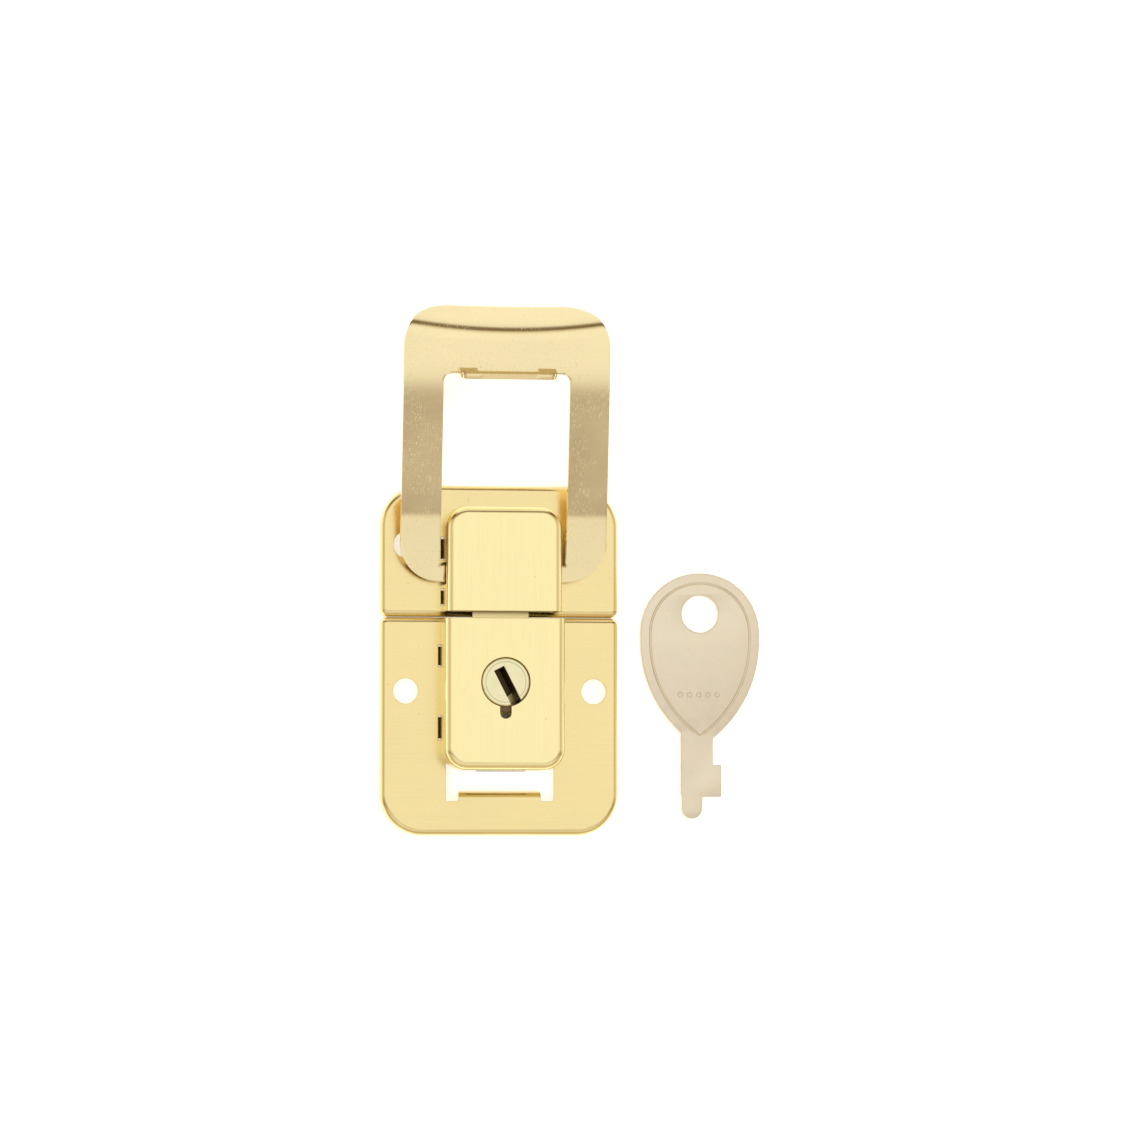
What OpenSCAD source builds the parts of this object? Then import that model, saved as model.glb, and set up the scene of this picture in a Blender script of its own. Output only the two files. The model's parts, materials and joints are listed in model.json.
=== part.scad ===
// Lockable case latch of pressed steel, in two halves, with its flat key.
// The lock half lies at the origin: back plane at z = 0, front face towards +Z,
// and the lid half beyond it in +Y. Millimetres throughout.

/* [Plates] */
// Width of both plates
plate_w = 38.2; // [37.6:0.1:39]
// Thickness of the plates' sheet
plate_t = 0.9; // [0.8:0.05:0.95]
// Height of the plates' front faces above their back plane
plate_h = 2.0; // [2:0.05:2.2]
// Outer radius of the plates' turned edges
plate_bend = 1.0; // [0.95:0.05:1.1]
// Radius of the plates' four rounded corners
corner_r = 6.7; // [5:0.1:8]
// Lowest edge of the lock plate
lock_low = -22.9; // [-24:0.1:-22.5]
// Edge of the lock plate at the parting line
lock_high = 11.7; // [11.6:0.1:11.8]
// Edge of the lid plate at the parting line
lid_low = 11.8; // [11.8:0.05:12.2]
// Highest edge of the lid plate
lid_high = 32.7; // [32:0.1:34]
// Distance between the two screw holes of each plate
screw_gap = 30.2; // [29.8:0.1:30.6]
// Diameter of the screw holes
screw_d = 4.0; // [3.6:0.1:4.4]
// Place of the lid plate's screw holes
lid_screw_y = 23.2; // [22.5:0.1:24]

/* [Lock cover] */
// Width of the lock cover
cover_w = 19.2; // [19:0.1:19.3]
// Height of the lock cover above the plate
cover_h = 6.4; // [6.2:0.1:6.8]
// Lower edge of the lock cover
cover_low = -12.6; // [-12.7:0.1:-12.4]
// Open edge of the lock cover
cover_high = 11.4; // [11.3:0.1:11.5]
// Radius of the lock cover's corners, seen from the front
cover_r = 3.5; // [3:0.1:4]
// Thickness of the sheet of the lock cover and the hinge cap
cover_t = 0.8; // [0.7:0.05:0.8]
// Outer bend radius of the lock cover and the hinge cap
cover_bend = 1.3; // [1.1:0.1:1.6]

/* [Hinge cap] */
// Width of the hinge cap
cap_w = 18.4; // [18.2:0.1:18.6]
// Height of the hinge cap above the plate
cap_h = 5.8; // [5.6:0.1:6]
// Open edge of the hinge cap
cap_low = 12.5; // [12.4:0.1:12.6]
// Upper edge of the hinge cap
cap_high = 29.1; // [28.8:0.1:29.6]
// Radius of the hinge cap's corners, seen from the front
cap_r = 3.4; // [3:0.1:4]

/* [Loop] */
// Place of the loop's hinge line
pivot_y = 18.6; // [18.5:0.1:18.7]
// Height of the loop's hinge line above the plate
pivot_h = 2.2; // [2.1:0.05:2.3]
// Outer width of the loop
loop_w = 32.9; // [32:0.1:33.4]
// Width of the loop's legs
leg_w = 6.35; // [6.2:0.05:6.4]
// Thickness of the loop's sheet
loop_t = 1.0; // [0.9:0.05:1.1]
// Distance from the hinge line to the edge of the bar that carries the staple
loop_reach = 31.7; // [31.6:0.1:32]
// Width of the bar at the loop's end
bar_w = 6.8; // [6.5:0.1:8]
// Length of the finger lip
lip_len = 5.2; // [5:0.1:6]
// Angle of the finger lip to the bar
lip_angle = 48; // [40:1:60]
// Angle between the legs and the plate when the loop lies open
open_lean = 8; // [6:0.5:10]
// Crank of the loop near its hinge
crank = 4; // [3:0.5:5]

/* [Lock] */
// Place of the plug's axis
plug_y = 1.3; // [1.2:0.1:1.4]
// Diameter of the plug
plug_d = 7.6; // [7.4:0.1:7.8]
// Angle of the plug from the position in which the key goes in
plug_angle = 27; // [0:1:45]
// Width of the key slot
slot_w = 1.76; // [1.7:0.02:1.9]
// Distance from the plug's axis to the closed end of the key slot
slot_up = 2.4; // [2.3:0.1:2.5]
// Distance from the plug's axis to the end of the key notch in the cover
notch_down = 5.76; // [5.5:0.05:6]
// Thickness of the bolt
bolt_t = 0.7; // [0.6:0.05:0.75]
// Width of the bolt's nose
bolt_w = 8.8; // [8.4:0.1:9]
// Place of the bolt's tip when it is drawn back as far as the plug now holds it
bolt_tip = -12.75; // [-12.8:0.05:-12.6]
// Distance that the bolt travels in a quarter turn of the plug
bolt_travel = 3.2; // [3:0.1:3.4]

/* [Key] */
// Width of the key's bow
bow_w = 19.3; // [18:0.1:20]
// Thickness of the key
key_t = 1.5; // [1.4:0.05:1.6]
// Middle of the key's bow, across
key_x = 32.4; // [31.8:0.1:36]
// Diameter of the hole for the key ring
ring_d = 5.9; // [5:0.1:6.2]

/* [Hidden] */
$fn = 64;
brass = "#e9d49a";
pale_brass = "#f2e3ae";
grey_brass = "#c9b488";
steel = "#b9b6ad";
nickel = "#d8d0bd";
eps = 0.02;

sheet_low = plate_h - plate_t;      // underside of the plates' sheet
cover_top = plate_h + cover_h;      // front face of the lock cover
cap_top = plate_h + cap_h;          // front face of the hinge cap
pivot_z = plate_h + pivot_h;
gap = 0.1;                          // running clearance of a shaft or a slide
tab_low = sheet_low - cover_t;      // underside of a clinched tab
tab_reach = 2.2;                    // how far a clinched tab lies outside its wall
slot_reach = 0.3;                   // how far a tab slot opens outside the wall

// Tabs of the covers: the middle and the length of each, along Y
cover_tabs = [[5.6, 3.0], [-5.8, 3.4]];
cap_tabs = [[22.6, 3.2], [14.9, 2.2]];
notch_half = 1.75;                  // half the notch that the crossbar turns in
bar_half = 1.3;                     // half the width of the loop's crossbar

window_half = 8.65;
window_low = -17.4;
window_high = -10.4;
sill_half = 6.6;                    // half the width of the lip below the window
sill_bend = 1.3;
sill_root = 0.3;                    // flat part of the lip before its bend
sill_drop = 0.4;                    // straight part of the lip after its bend

spigot_r = 2.3;
spigot_low = 0.35;
flange_r = 4.7;
flange_t = 0.8;
chamfer = 0.22;                     // height of the plug's turned chamfer
chamfer_in = 0.28;                  // how far the chamfer runs in
clip_r = 3.7;
clip_t = 0.55;
clip_gap = 1.2;
bolt_low = plate_h + 0.1;
bolt_half = 7.4;                    // half the width of the bolt's body
bolt_body_low = -8.4;
bolt_body_high = 8.2;
bolt_swing = bolt_travel / 90;      // travel for each degree of the plug
bolt_out = bolt_swing * (90 - plug_angle);
bolt_in = bolt_swing * plug_angle;
post_x = 5.6;
post_y = -5.0;
post_r = 0.8;
head_r = 1.3;                       // radius of every rivet's head
head_t = 0.6;                       // height of the head in front
tail_t = 0.4;                       // height of the tail behind the plate

rivet_x = 2.9;
rivet_y = 26.4;
rivet_r = 0.8;
tongue_half = 4.5;
tongue_t = 0.6;
tongue_low = 9.6;
spring_half = 4.2;
spring_t = 0.4;

knee = 9.5;                         // distance of the crank from the loop's hinge line
lip_r = 7.5;                        // radius of the loop's two outer corners
staple_t = 0.9;
staple_len = 3.0;
staple_half = 7.7;                  // half the staple's width at its root
staple_tip_half = 6.4;
staple_r = 1.3;
staple_lean = 12;

bow_y = 8.2;                        // widest place of the key's bow
ring_y = 4.3;                       // key ring hole, above that place

// Outline from y0 to y1, with corners of radius r0 at y0 and r1 at y1
module rounded(w, y0, y1, r0, r1) {
    translate([-w / 2, y0 + r0]) square([w, y1 - y0 - r0 - r1]);
    translate([-w / 2 + r0, y0]) square([w - 2 * r0, r0 + eps]);
    translate([-w / 2 + r1, y1 - r1 - eps]) square([w - 2 * r1, r1 + eps]);
    for (side = [-1, 1]) {
        translate([side * (w / 2 - r0), y0 + r0]) circle(r0);
        translate([side * (w / 2 - r1), y1 - r1]) circle(r1);
    }
}

// Cross-section of a quarter bend of outer radius re in a sheet of thickness t
module bend_profile(t, re) {
    intersection() {
        difference() {
            circle(re);
            circle(re - t);
        }
        square(re);
    }
}

// A straight quarter bend along +Y, its outer side towards +X
module bend_run(length, t, re) {
    rotate([90, 0, 180]) mirror([1, 0, 0]) linear_extrude(length) bend_profile(t, re);
}

// A bend round a corner of radius r, over the first quadrant
module bend_corner(r, t, re) {
    rotate_extrude(angle = 90) translate([r - re, 0]) bend_profile(t, re);
}

// A shallow pressed pan: front face at z1, edges turned back to z0.
// With open_end the edge at y1 is left flat and open.
module pressed(w, y0, y1, r0, r1, z0, z1, t, re, open_end = false) {
    end = open_end ? y1 : y1 - re;
    side_end = open_end ? y1 : y1 - r1;
    translate([0, 0, z1 - t]) linear_extrude(t) {
        if (open_end) {
            rounded(w - 2 * re, y0 + re, end + 1, r0 - re, 0.5);
        } else {
            rounded(w - 2 * re, y0 + re, end, r0 - re, r1 - re);
        }
    }
    translate([0, 0, z0]) linear_extrude(z1 - re - z0) difference() {
        rounded(w, y0, open_end ? y1 + 1 : y1, r0, open_end ? 0.5 : r1);
        rounded(w - 2 * t, y0 + t, open_end ? y1 + 2 : y1 - t, r0 - t, open_end ? 0.5 : r1 - t);
    }
    translate([0, 0, z1 - re]) {
        for (side = [0, 1]) mirror([side, 0, 0]) {
            translate([w / 2 - re, y0 + r0, 0]) bend_run(side_end - y0 - r0, t, re);
            translate([w / 2 - r0, y0 + r0, 0]) rotate([0, 0, -90]) bend_corner(r0, t, re);
            if (!open_end) translate([w / 2 - r1, y1 - r1, 0]) bend_corner(r1, t, re);
        }
        translate([w / 2 - r0, y0 + re, 0]) rotate([0, 0, -90]) mirror([0, 1, 0])
            bend_run(w - 2 * r0, t, re);
        if (!open_end) translate([-w / 2 + r1, y1 - re, 0]) rotate([0, 0, 90]) mirror([0, 1, 0])
            bend_run(w - 2 * r1, t, re);
    }
}

// A box-shaped cover, open behind and at y1
module cover_shell(w, y0, y1, r, top) {
    intersection() {
        pressed(w, y0, y1, r, r, plate_h, top, cover_t, cover_bend, open_end = true);
        translate([-w, y0 - 1, 0]) cube([2 * w, y1 - y0 + 1, top + 1]);
    }
}

// Tabs that pass through the plate beside each wall and are clinched outwards behind it
module wall_tabs(w, tabs) {
    for (side = [0, 1], tab = tabs) mirror([side, 0, 0]) {
        translate([w / 2 - cover_t, tab[0] - tab[1] / 2, tab_low])
            cube([cover_t, tab[1], plate_h - tab_low + eps]);
        translate([w / 2 - cover_t, tab[0] - tab[1] / 2, tab_low])
            cube([cover_t + tab_reach, tab[1], cover_t]);
    }
}

// Slots in the plate for those tabs
module tab_slots(w, tabs) {
    for (side = [0, 1], tab = tabs) mirror([side, 0, 0]) {
        translate([w / 2 - cover_t - gap, tab[0] - tab[1] / 2 - 0.25, sheet_low - 1])
            cube([cover_t + gap + slot_reach, tab[1] + 0.5, plate_t + 2]);
    }
}

module screw_holes(y) {
    for (side = [-1, 1]) translate([side * screw_gap / 2, y, -1]) cylinder(d = screw_d, h = plate_h + 2);
}

module key_slot(down, h) {
    translate([-slot_w / 2, -down, 0]) cube([slot_w, down + slot_up, h]);
}

// ---- Lock half ----

module lock_plate() {
    color(brass) difference() {
        pressed(plate_w, lock_low, lock_high, corner_r, 1.2, 0, plate_h, plate_t, plate_bend);
        screw_holes(0);
        translate([-window_half, window_low, -1])
            cube([2 * window_half, window_high - window_low, plate_h + 2]);
        translate([0, plug_y, -1]) cylinder(r = spigot_r + gap, h = plate_h + 2);
        tab_slots(cover_w, cover_tabs);
        for (side = [-1, 1]) translate([side * post_x, post_y, -1]) cylinder(r = post_r, h = plate_h + 2);
    }
    // the sill, turned back from the window's lower edge
    color(brass) intersection() {
        translate([-sill_half, window_low - eps, sill_bend - plate_h + eps])
            cube([2 * sill_half, 2 * sill_bend, 2 * plate_h]);
        translate([0, window_low + sill_root, plate_h - sill_bend]) {
            translate([sill_half, 0, 0]) rotate([0, -90, 0]) linear_extrude(2 * sill_half)
                bend_profile(plate_t, sill_bend);
            translate([-sill_half, -sill_root - eps, sill_bend - plate_t])
                cube([2 * sill_half, sill_root + 2 * eps, plate_t]);
            translate([-sill_half, sill_bend - plate_t, -sill_drop])
                cube([2 * sill_half, plate_t, sill_drop + eps]);
        }
    }
}

module lock_cover() {
    color(pale_brass) difference() {
        union() {
            cover_shell(cover_w, cover_low, cover_high, cover_r, cover_top);
            wall_tabs(cover_w, cover_tabs);
        }
        // bore for the plug, with the notch that lets the key's bit in
        translate([0, plug_y, cover_top - 2]) cylinder(d = plug_d + 2 * gap, h = 3);
        translate([-slot_w / 2, plug_y - notch_down + slot_w / 2, cover_top - 2])
            cube([slot_w, notch_down - slot_w / 2, 3]);
        translate([0, plug_y - notch_down + slot_w / 2, cover_top - 2]) cylinder(d = slot_w, h = 3);
        // way out for the bolt
        translate([-bolt_w / 2 - 0.4, cover_low - 1, plate_h - eps])
            cube([bolt_w + 0.8, cover_t + 2, bolt_t + 0.7]);
    }
}

module plug() {
    color(brass) translate([0, plug_y, 0]) rotate([0, 0, plug_angle]) difference() {
        union() {
            translate([0, 0, plate_h + gap]) cylinder(d = plug_d, h = cover_top - chamfer - plate_h - gap);
            translate([0, 0, cover_top - chamfer])
                cylinder(d1 = plug_d, d2 = plug_d - 2 * chamfer_in, h = chamfer);
            translate([0, 0, cover_top - cover_t - gap - flange_t]) cylinder(r = flange_r, h = flange_t);
            translate([0, 0, spigot_low]) cylinder(r = spigot_r, h = plate_h + 1 - spigot_low);
        }
        translate([0, 0, plate_h + gap]) key_slot(flange_r + 1, cover_h + 2);
    }
}

// Spring ring pressed on the plug's spigot behind the plate
module plug_clip() {
    color(steel) translate([0, plug_y, spigot_low + 0.05]) rotate([0, 0, plug_angle]) difference() {
        cylinder(r = clip_r, h = clip_t);
        translate([0, 0, -1]) cylinder(r = spigot_r, h = 3);
        translate([-clip_gap / 2, 0, -1]) cube([clip_gap, 2 * clip_r, 3]);
    }
}

// Flat bolt with a window round the plug, gates for the key's bit and slots for its rivets
module bolt() {
    low = plug_y - bolt_in - gap;
    high = plug_y + bolt_out + gap;
    r = plug_d / 2 + 0.35;
    color(steel) translate([0, 0, bolt_low]) linear_extrude(bolt_t) difference() {
        union() {
            translate([-bolt_half, bolt_body_low]) square([2 * bolt_half, bolt_body_high - bolt_body_low]);
            translate([-bolt_w / 2, bolt_tip + 0.8]) square([bolt_w, 6]);
            translate([-bolt_w / 2 + 0.8, bolt_tip]) square([bolt_w - 1.6, 6]);
            for (side = [-1, 1]) translate([side * (bolt_w / 2 - 0.8), bolt_tip + 0.8]) circle(0.8);
        }
        for (y = [low, high]) translate([0, y]) circle(r);
        translate([-r, low]) square([2 * r, high - low]);
        translate([-r - 0.7, plug_y - 1.2]) square([2 * r + 1.4, 2.4]);
        for (side = [-1, 1]) {
            for (y = [post_y - bolt_in - gap, post_y + bolt_out + gap])
                translate([side * post_x, y]) circle(post_r + gap);
            translate([side * post_x - post_r - gap, post_y - bolt_in - gap])
                square([2 * (post_r + gap), bolt_in + bolt_out + 2 * gap]);
        }
        translate([-bolt_half - 1, plug_y + 1]) square([1.6, 4.8]);
    }
}

// Two shouldered rivets that guide the bolt
module bolt_rivets() {
    color(steel) for (side = [-1, 1]) translate([side * post_x, post_y, 0]) {
        translate([0, 0, sheet_low - tail_t]) cylinder(r = head_r, h = tail_t);
        translate([0, 0, sheet_low - eps]) cylinder(r = post_r, h = plate_t + bolt_t + 0.5);
        translate([0, 0, plate_h + bolt_t + 0.4]) cylinder(r = head_r, h = head_t);
    }
}

// Bowed leaf between the cover's wall and the bolt's edge
module bolt_spring() {
    rise = 1.2;
    half = 4.6;
    r = (half * half + rise * rise) / (2 * rise);
    wall = -cover_w / 2 + cover_t;
    color(steel) translate([wall + rise + 0.4 - r, plug_y + 3.4, bolt_low]) intersection() {
        difference() {
            cylinder(r = r, h = 1.8, $fn = 128);
            translate([0, 0, -1]) cylinder(r = r - 0.3, h = 4, $fn = 128);
        }
        translate([0, -half, -1]) cube([r + 1, 2 * half, 4]);
    }
}

// ---- Lid half ----

module lid_plate() {
    color(brass) difference() {
        pressed(plate_w, lid_low, lid_high, 1.2, corner_r, 0, plate_h, plate_t, plate_bend);
        screw_holes(lid_screw_y);
        tab_slots(cap_w, cap_tabs);
        for (side = [-1, 1]) translate([side * rivet_x, rivet_y, -1]) cylinder(r = rivet_r, h = plate_h + 2);
    }
}

module hinge_cap() {
    color(pale_brass) difference() {
        union() {
            translate([0, cap_low + cap_high, 0]) mirror([0, 1, 0])
                cover_shell(cap_w, cap_low, cap_high, cap_r, cap_top);
            wall_tabs(cap_w, cap_tabs);
        }
        // notches in both walls, in which the loop's crossbar turns
        translate([-cap_w, pivot_y - notch_half, plate_h - eps])
            cube([2 * cap_w, 2 * notch_half, pivot_h + notch_half]);
    }
}

// Flat strip under the hinge cap that reaches into the lock cover and lines up the halves
module guide_tongue() {
    color(brass) translate([0, 0, plate_h]) linear_extrude(tongue_t) difference() {
        rounded(2 * tongue_half, tongue_low, rivet_y + 1.6, 1.2, 0.5);
        for (side = [-1, 1]) translate([side * rivet_x, rivet_y]) circle(rivet_r);
    }
}

// Leaf that bears on the flats of the loop's crossbar and snaps the loop open and shut
module hinge_spring() {
    foot = plate_h + tongue_t;
    tip = pivot_z + loop_t / 2 + 0.45;
    color(steel) difference() {
        rotate([90, 0, 90]) translate([0, 0, -spring_half]) linear_extrude(2 * spring_half) polygon([
            [rivet_y + 1.5, foot],
            [rivet_y + 1.5, foot + spring_t],
            [rivet_y - 1.5, foot + spring_t],
            [pivot_y + 2.4, tip + spring_t],
            [pivot_y - 2.6, tip + spring_t],
            [pivot_y - 3.6, tip + spring_t + 0.7],
            [pivot_y - 3.9, tip + spring_t + 0.4],
            [pivot_y - 2.8, tip],
            [pivot_y + 2.2, tip],
            [rivet_y - 1.7, foot],
        ]);
        for (side = [-1, 1]) translate([side * rivet_x, rivet_y, 0]) cylinder(r = rivet_r, h = 9);
    }
}

module hinge_rivets() {
    top = plate_h + tongue_t + spring_t;
    color(steel) for (side = [-1, 1]) translate([side * rivet_x, rivet_y, 0]) {
        translate([0, 0, sheet_low - tail_t]) cylinder(r = head_r, h = tail_t);
        translate([0, 0, sheet_low - eps]) cylinder(r = rivet_r, h = top - sheet_low + 2 * eps);
        translate([0, 0, top]) cylinder(r = head_r, h = head_t);
    }
}

// The loop, drawn shut: hinge line along X at the origin, legs towards -Y
module loop_shut() {
    window = loop_w - 2 * leg_w;
    drop = knee * sin(crank);                // how far the crank lowers the legs
    bend_y = -loop_reach - bar_w;
    // half the loop's width at the lip's bend
    bend_half = loop_w / 2 - lip_r + sqrt(pow(lip_r, 2) - pow(lip_r - lip_len, 2));
    // hinge end: crossbar and the roots of the legs, tilted by the crank
    rotate([crank, 0, 0]) translate([0, 0, -loop_t / 2]) linear_extrude(loop_t) difference() {
        union() {
            translate([-loop_w / 2 + leg_w, -bar_half]) square([window, 2 * bar_half]);
            for (side = [-1, 1]) translate([side * (loop_w / 2 - leg_w), -knee - 0.03]) intersection() {
                union() {
                    translate([-leg_w, 0]) square([2 * leg_w, knee + bar_half - leg_w]);
                    translate([0, knee + bar_half - leg_w]) circle(leg_w);
                }
                translate([side > 0 ? 0 : -leg_w, 0]) square([leg_w, knee + bar_half + 1]);
            }
        }
    }
    // legs, bar and staple, flat
    translate([0, 0, -drop]) {
        translate([0, 0, -loop_t / 2]) linear_extrude(loop_t) difference() {
            intersection() {
                rounded(loop_w, bend_y - lip_len, 0, lip_r, 0.5);
                translate([-loop_w / 2, bend_y]) square([loop_w, -bend_y - knee * cos(crank)]);
            }
            rounded(window, -loop_reach, 1, 1.2, 0.5);
        }
        // finger lip
        translate([0, bend_y, 0]) rotate([-lip_angle, 0, 0]) intersection() {
            translate([0, 0, -loop_t / 2]) linear_extrude(loop_t) rounded(loop_w, -lip_len, 9, lip_r, 0.5);
            translate([-loop_w, -2 * lip_len, -loop_t]) cube([2 * loop_w, 2 * lip_len, 2 * loop_t]);
        }
        translate([bend_half, bend_y, 0]) rotate([0, -90, 0]) cylinder(d = loop_t, h = 2 * bend_half);
        // staple, turned back from the bar's inner edge
        translate([0, -loop_reach - staple_t, -loop_t / 2]) rotate([staple_lean, 0, 0]) difference() {
            union() {
                translate([-staple_half, 0, -staple_len + staple_r])
                    cube([2 * staple_half, staple_t, staple_len - staple_r + 0.4]);
                translate([-staple_tip_half, 0, -staple_len]) cube([2 * staple_tip_half, staple_t, 2]);
                for (side = [-1, 1]) translate([side * staple_tip_half, 0, -staple_len + staple_r])
                    rotate([-90, 0, 0]) cylinder(r = staple_r, h = staple_t);
            }
            translate([-bolt_w / 2 - 0.45, -1, -staple_len + 1.4]) cube([bolt_w + 0.9, 3, 1.7]);
        }
    }
}

module loop() {
    color(grey_brass) translate([0, pivot_y, pivot_z]) rotate([open_lean - 180, 0, 0]) loop_shut();
}

// ---- Key ----

// Outline of the bow, drawn in by inset all round
module bow_outline(inset) {
    side_r = 19.8;                           // radius of the two long arcs
    side_x = side_r - bow_w / 2;
    translate([0, 1.2]) circle(bow_w / 2 - inset);
    intersection() {
        translate([side_x, 0]) circle(side_r - inset);
        translate([-side_x, 0]) circle(side_r - inset);
        translate([-bow_w, -2 * bow_w]) square([2 * bow_w, 2 * bow_w]);
    }
}

module key() {
    shank = [-3.1, 2.1];                     // left and right side of the shank, from the bow's middle
    bit = 3.45;                              // right side of the bit
    bit_high = -19.8;
    bit_low = -24.9;
    tip_r = 1.65;                            // half the width of the tip
    tip_x = -2.95 + tip_r;
    tip_low = -28.4;
    bead = 1.6;                              // distance of the pressed line from the bow's edge
    color(nickel) translate([key_x, bow_y, 0]) difference() {
        linear_extrude(key_t) difference() {
            union() {
                bow_outline(0);
                translate([shank[0], bit_low + 0.6]) square([shank[1] - shank[0], 12]);
                translate([shank[0] + 0.15, bit_low]) square([bit - shank[0] - 0.15, 1]);
                translate([0, bit_low]) square([bit, bit_high - bit_low]);
                translate([tip_x - tip_r, tip_low + tip_r]) square([2 * tip_r, 4]);
                translate([tip_x, tip_low + tip_r]) circle(tip_r);
            }
            translate([0, ring_y]) circle(d = ring_d);
        }
        translate([0, 0, key_t - 0.12]) linear_extrude(1) difference() {
            bow_outline(bead);
            bow_outline(bead + 0.3);
        }
    }
}

lock_plate();
lock_cover();
plug();
plug_clip();
bolt();
bolt_rivets();
bolt_spring();
lid_plate();
hinge_cap();
guide_tongue();
hinge_spring();
hinge_rivets();
loop();
key();
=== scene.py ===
# %% [markdown]
# # A lockable case latch and its key
# The latch is pressed from thin steel and brass plated. Two flat pans carry two drawn covers. A stamped loop
# hinges under the upper cover and shuts over the lower one, where a small plug and bolt hold it. The CAD
# model is the frame: it says where everything is and how it moves. This script gives each piece its finished
# surface.

# %% Load the frame
import json
import math

import bmesh
import bpy
from mathutils import Matrix, Vector


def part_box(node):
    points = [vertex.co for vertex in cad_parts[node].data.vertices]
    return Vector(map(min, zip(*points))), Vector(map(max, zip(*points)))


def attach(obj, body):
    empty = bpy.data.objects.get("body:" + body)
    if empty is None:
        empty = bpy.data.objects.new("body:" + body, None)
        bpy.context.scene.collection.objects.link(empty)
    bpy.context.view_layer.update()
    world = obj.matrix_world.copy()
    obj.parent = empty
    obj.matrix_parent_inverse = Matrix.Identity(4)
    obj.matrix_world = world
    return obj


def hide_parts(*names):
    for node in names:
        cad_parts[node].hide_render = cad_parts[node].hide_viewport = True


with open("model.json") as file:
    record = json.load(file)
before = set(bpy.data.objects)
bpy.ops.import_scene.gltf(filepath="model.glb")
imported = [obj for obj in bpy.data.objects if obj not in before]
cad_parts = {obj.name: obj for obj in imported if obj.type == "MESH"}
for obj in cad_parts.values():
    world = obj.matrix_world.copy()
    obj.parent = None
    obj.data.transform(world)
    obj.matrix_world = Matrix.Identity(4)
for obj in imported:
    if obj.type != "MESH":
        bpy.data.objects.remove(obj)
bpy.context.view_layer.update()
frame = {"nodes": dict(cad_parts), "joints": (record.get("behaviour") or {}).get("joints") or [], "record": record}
nodes = frame["nodes"]
MM = 0.001

# %% [markdown]
# ## The camera
# The latch lies on its back, so the camera looks almost straight down at it, from a little to the left and a
# little below the lower edge. A long lens keeps the plates' sides parallel, as in a catalogue picture.

# %% Camera
PICTURE_WIDTH = 181.2 * MM           # width of the surface that the picture takes in
CAMERA_DISTANCE = 0.9
FROM_LEFT = math.radians(9.2)
FROM_BELOW = math.radians(2.8)
AIM = Vector((11.1, 19.6, 2.0)) * MM

camera_data = bpy.data.cameras.new("camera")
camera_data.sensor_width = 36.0
camera_data.lens = camera_data.sensor_width * CAMERA_DISTANCE / PICTURE_WIDTH
camera_data.clip_start = 0.01
camera = bpy.data.objects.new("camera", camera_data)
bpy.context.scene.collection.objects.link(camera)
away = Vector((
    -math.sin(FROM_LEFT) * math.cos(FROM_BELOW),
    -math.sin(FROM_BELOW),
    math.cos(FROM_LEFT) * math.cos(FROM_BELOW),
)).normalized()
right = Vector((0, 1, 0)).cross(away).normalized()
up = away.cross(right)
turn = Matrix((right, up, away)).transposed().to_4x4()
camera.matrix_world = Matrix.Translation(AIM + away * CAMERA_DISTANCE) @ turn
bpy.context.scene.camera = camera
print("lens in mm:", round(camera_data.lens, 1))

# %% [markdown]
# ## The room
# Polished metal shows the room more than its own colour. Flat faces that look at the ceiling glow evenly. Two
# soft dark bands in the room do the rest: one is what the tilted legs of the loop see, and the other is what
# rounded edges see for an instant as they turn over, which draws a thin dark line along each bend. Both are
# ramps on the direction, so they cost nothing and add no grain to the picture.

# %% Room
def new_object(name, mesh):
    """An object at the origin that holds this mesh."""
    made = bpy.data.objects.new(name, mesh)
    bpy.context.scene.collection.objects.link(made)
    return made


def tone_ramp(tree, value, stops):
    """A colour ramp with these (place, colour) stops, fed by value."""
    ramp = tree.nodes.new("ShaderNodeValToRGB")
    elements = ramp.color_ramp.elements
    elements[0].position = stops[0][0]
    elements[1].position = stops[-1][0]
    for spot, _ in stops[1:-1]:
        elements.new(spot)
    for element, (_, tone) in zip(elements, stops):
        element.color = (*tone, 1)
    tree.links.new(value, ramp.inputs[0])
    return ramp.outputs["Color"]


def grey(level):
    return (level, level, level)


LEG_SHADE = (0.50, 0.43, 0.40)       # what the loop's legs reflect
WARM_DIM = (0.62, 0.50, 0.36)        # a timber wall, which bends see beside the white ceiling
DARK_BEAM = (0.20, 0.15, 0.10)
LENGTHWAYS = [                       # along Y, from -1 at the near wall to 1 at the far wall
    (-1.0, WARM_DIM), (-0.62, (0.85, 0.80, 0.72)), (-0.40, grey(1.08)), (-0.33, grey(1.0)), (-0.28, LEG_SHADE),
    (-0.18, LEG_SHADE), (-0.12, grey(1.0)), (0.0, grey(1.1)), (0.35, grey(1.1)), (0.50, (0.85, 0.78, 0.66)),
    (0.61, DARK_BEAM), (0.76, (0.26, 0.20, 0.13)), (0.86, grey(1.0)), (1.0, grey(1.1)),
]
SIDEWAYS = [                         # along X, from 0 overhead to 1 at either side wall
    (0.0, grey(1.0)), (0.42, grey(1.0)), (0.62, (0.74, 0.66, 0.54)), (0.80, WARM_DIM), (1.0, grey(0.85)),
]

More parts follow.
